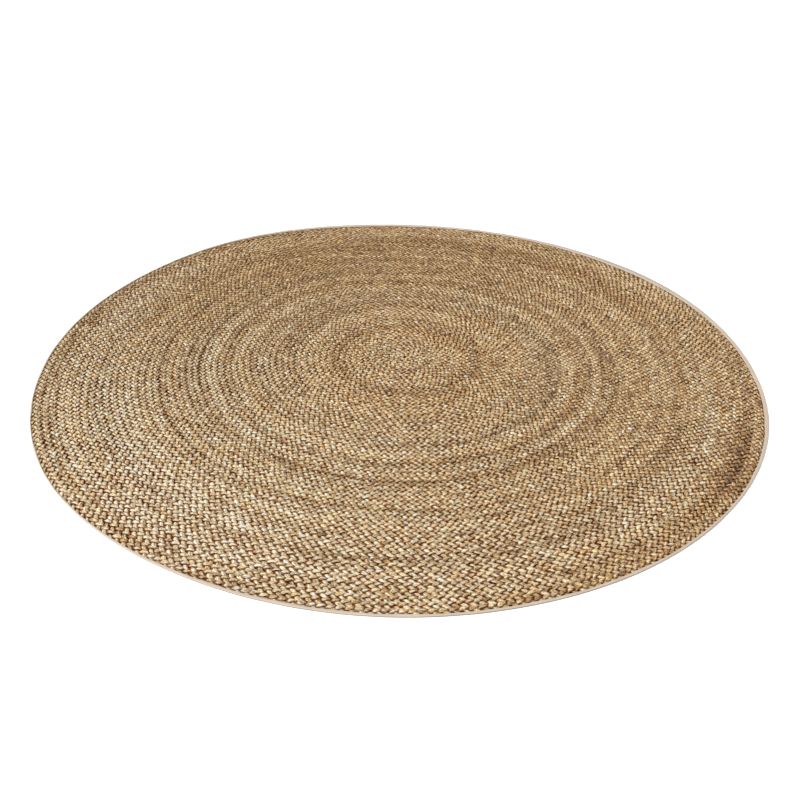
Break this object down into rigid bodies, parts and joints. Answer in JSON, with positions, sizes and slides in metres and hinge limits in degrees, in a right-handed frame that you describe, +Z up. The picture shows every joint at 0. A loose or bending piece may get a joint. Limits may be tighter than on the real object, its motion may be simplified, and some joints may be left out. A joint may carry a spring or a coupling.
{
  "type": "round braided rug",
  "caption": "Round flat rug of natural straw-coloured braid coiled from the centre, with a narrow woven tape folded over its edge.",
  "frame": {"origin": "middle of the rug's outline, on the floor", "axes": "+Z up, through the rug's thickness; -Y towards the edge nearest the viewer"},
  "size_m": [1.4944, 1.4946, 0.006],
  "materials": {
    "braid": "natural straw-coloured plant fibre in a three-strand braid, matt with dull highlights, in uneven pale, tan and brown stretches",
    "binding_tape": "plain woven tape, pale pinkish beige, matt"
  },
  "bodies": {
    "root": {"braided_body": "braid", "edge_binding": "binding_tape"}
  },
  "joints": []
}
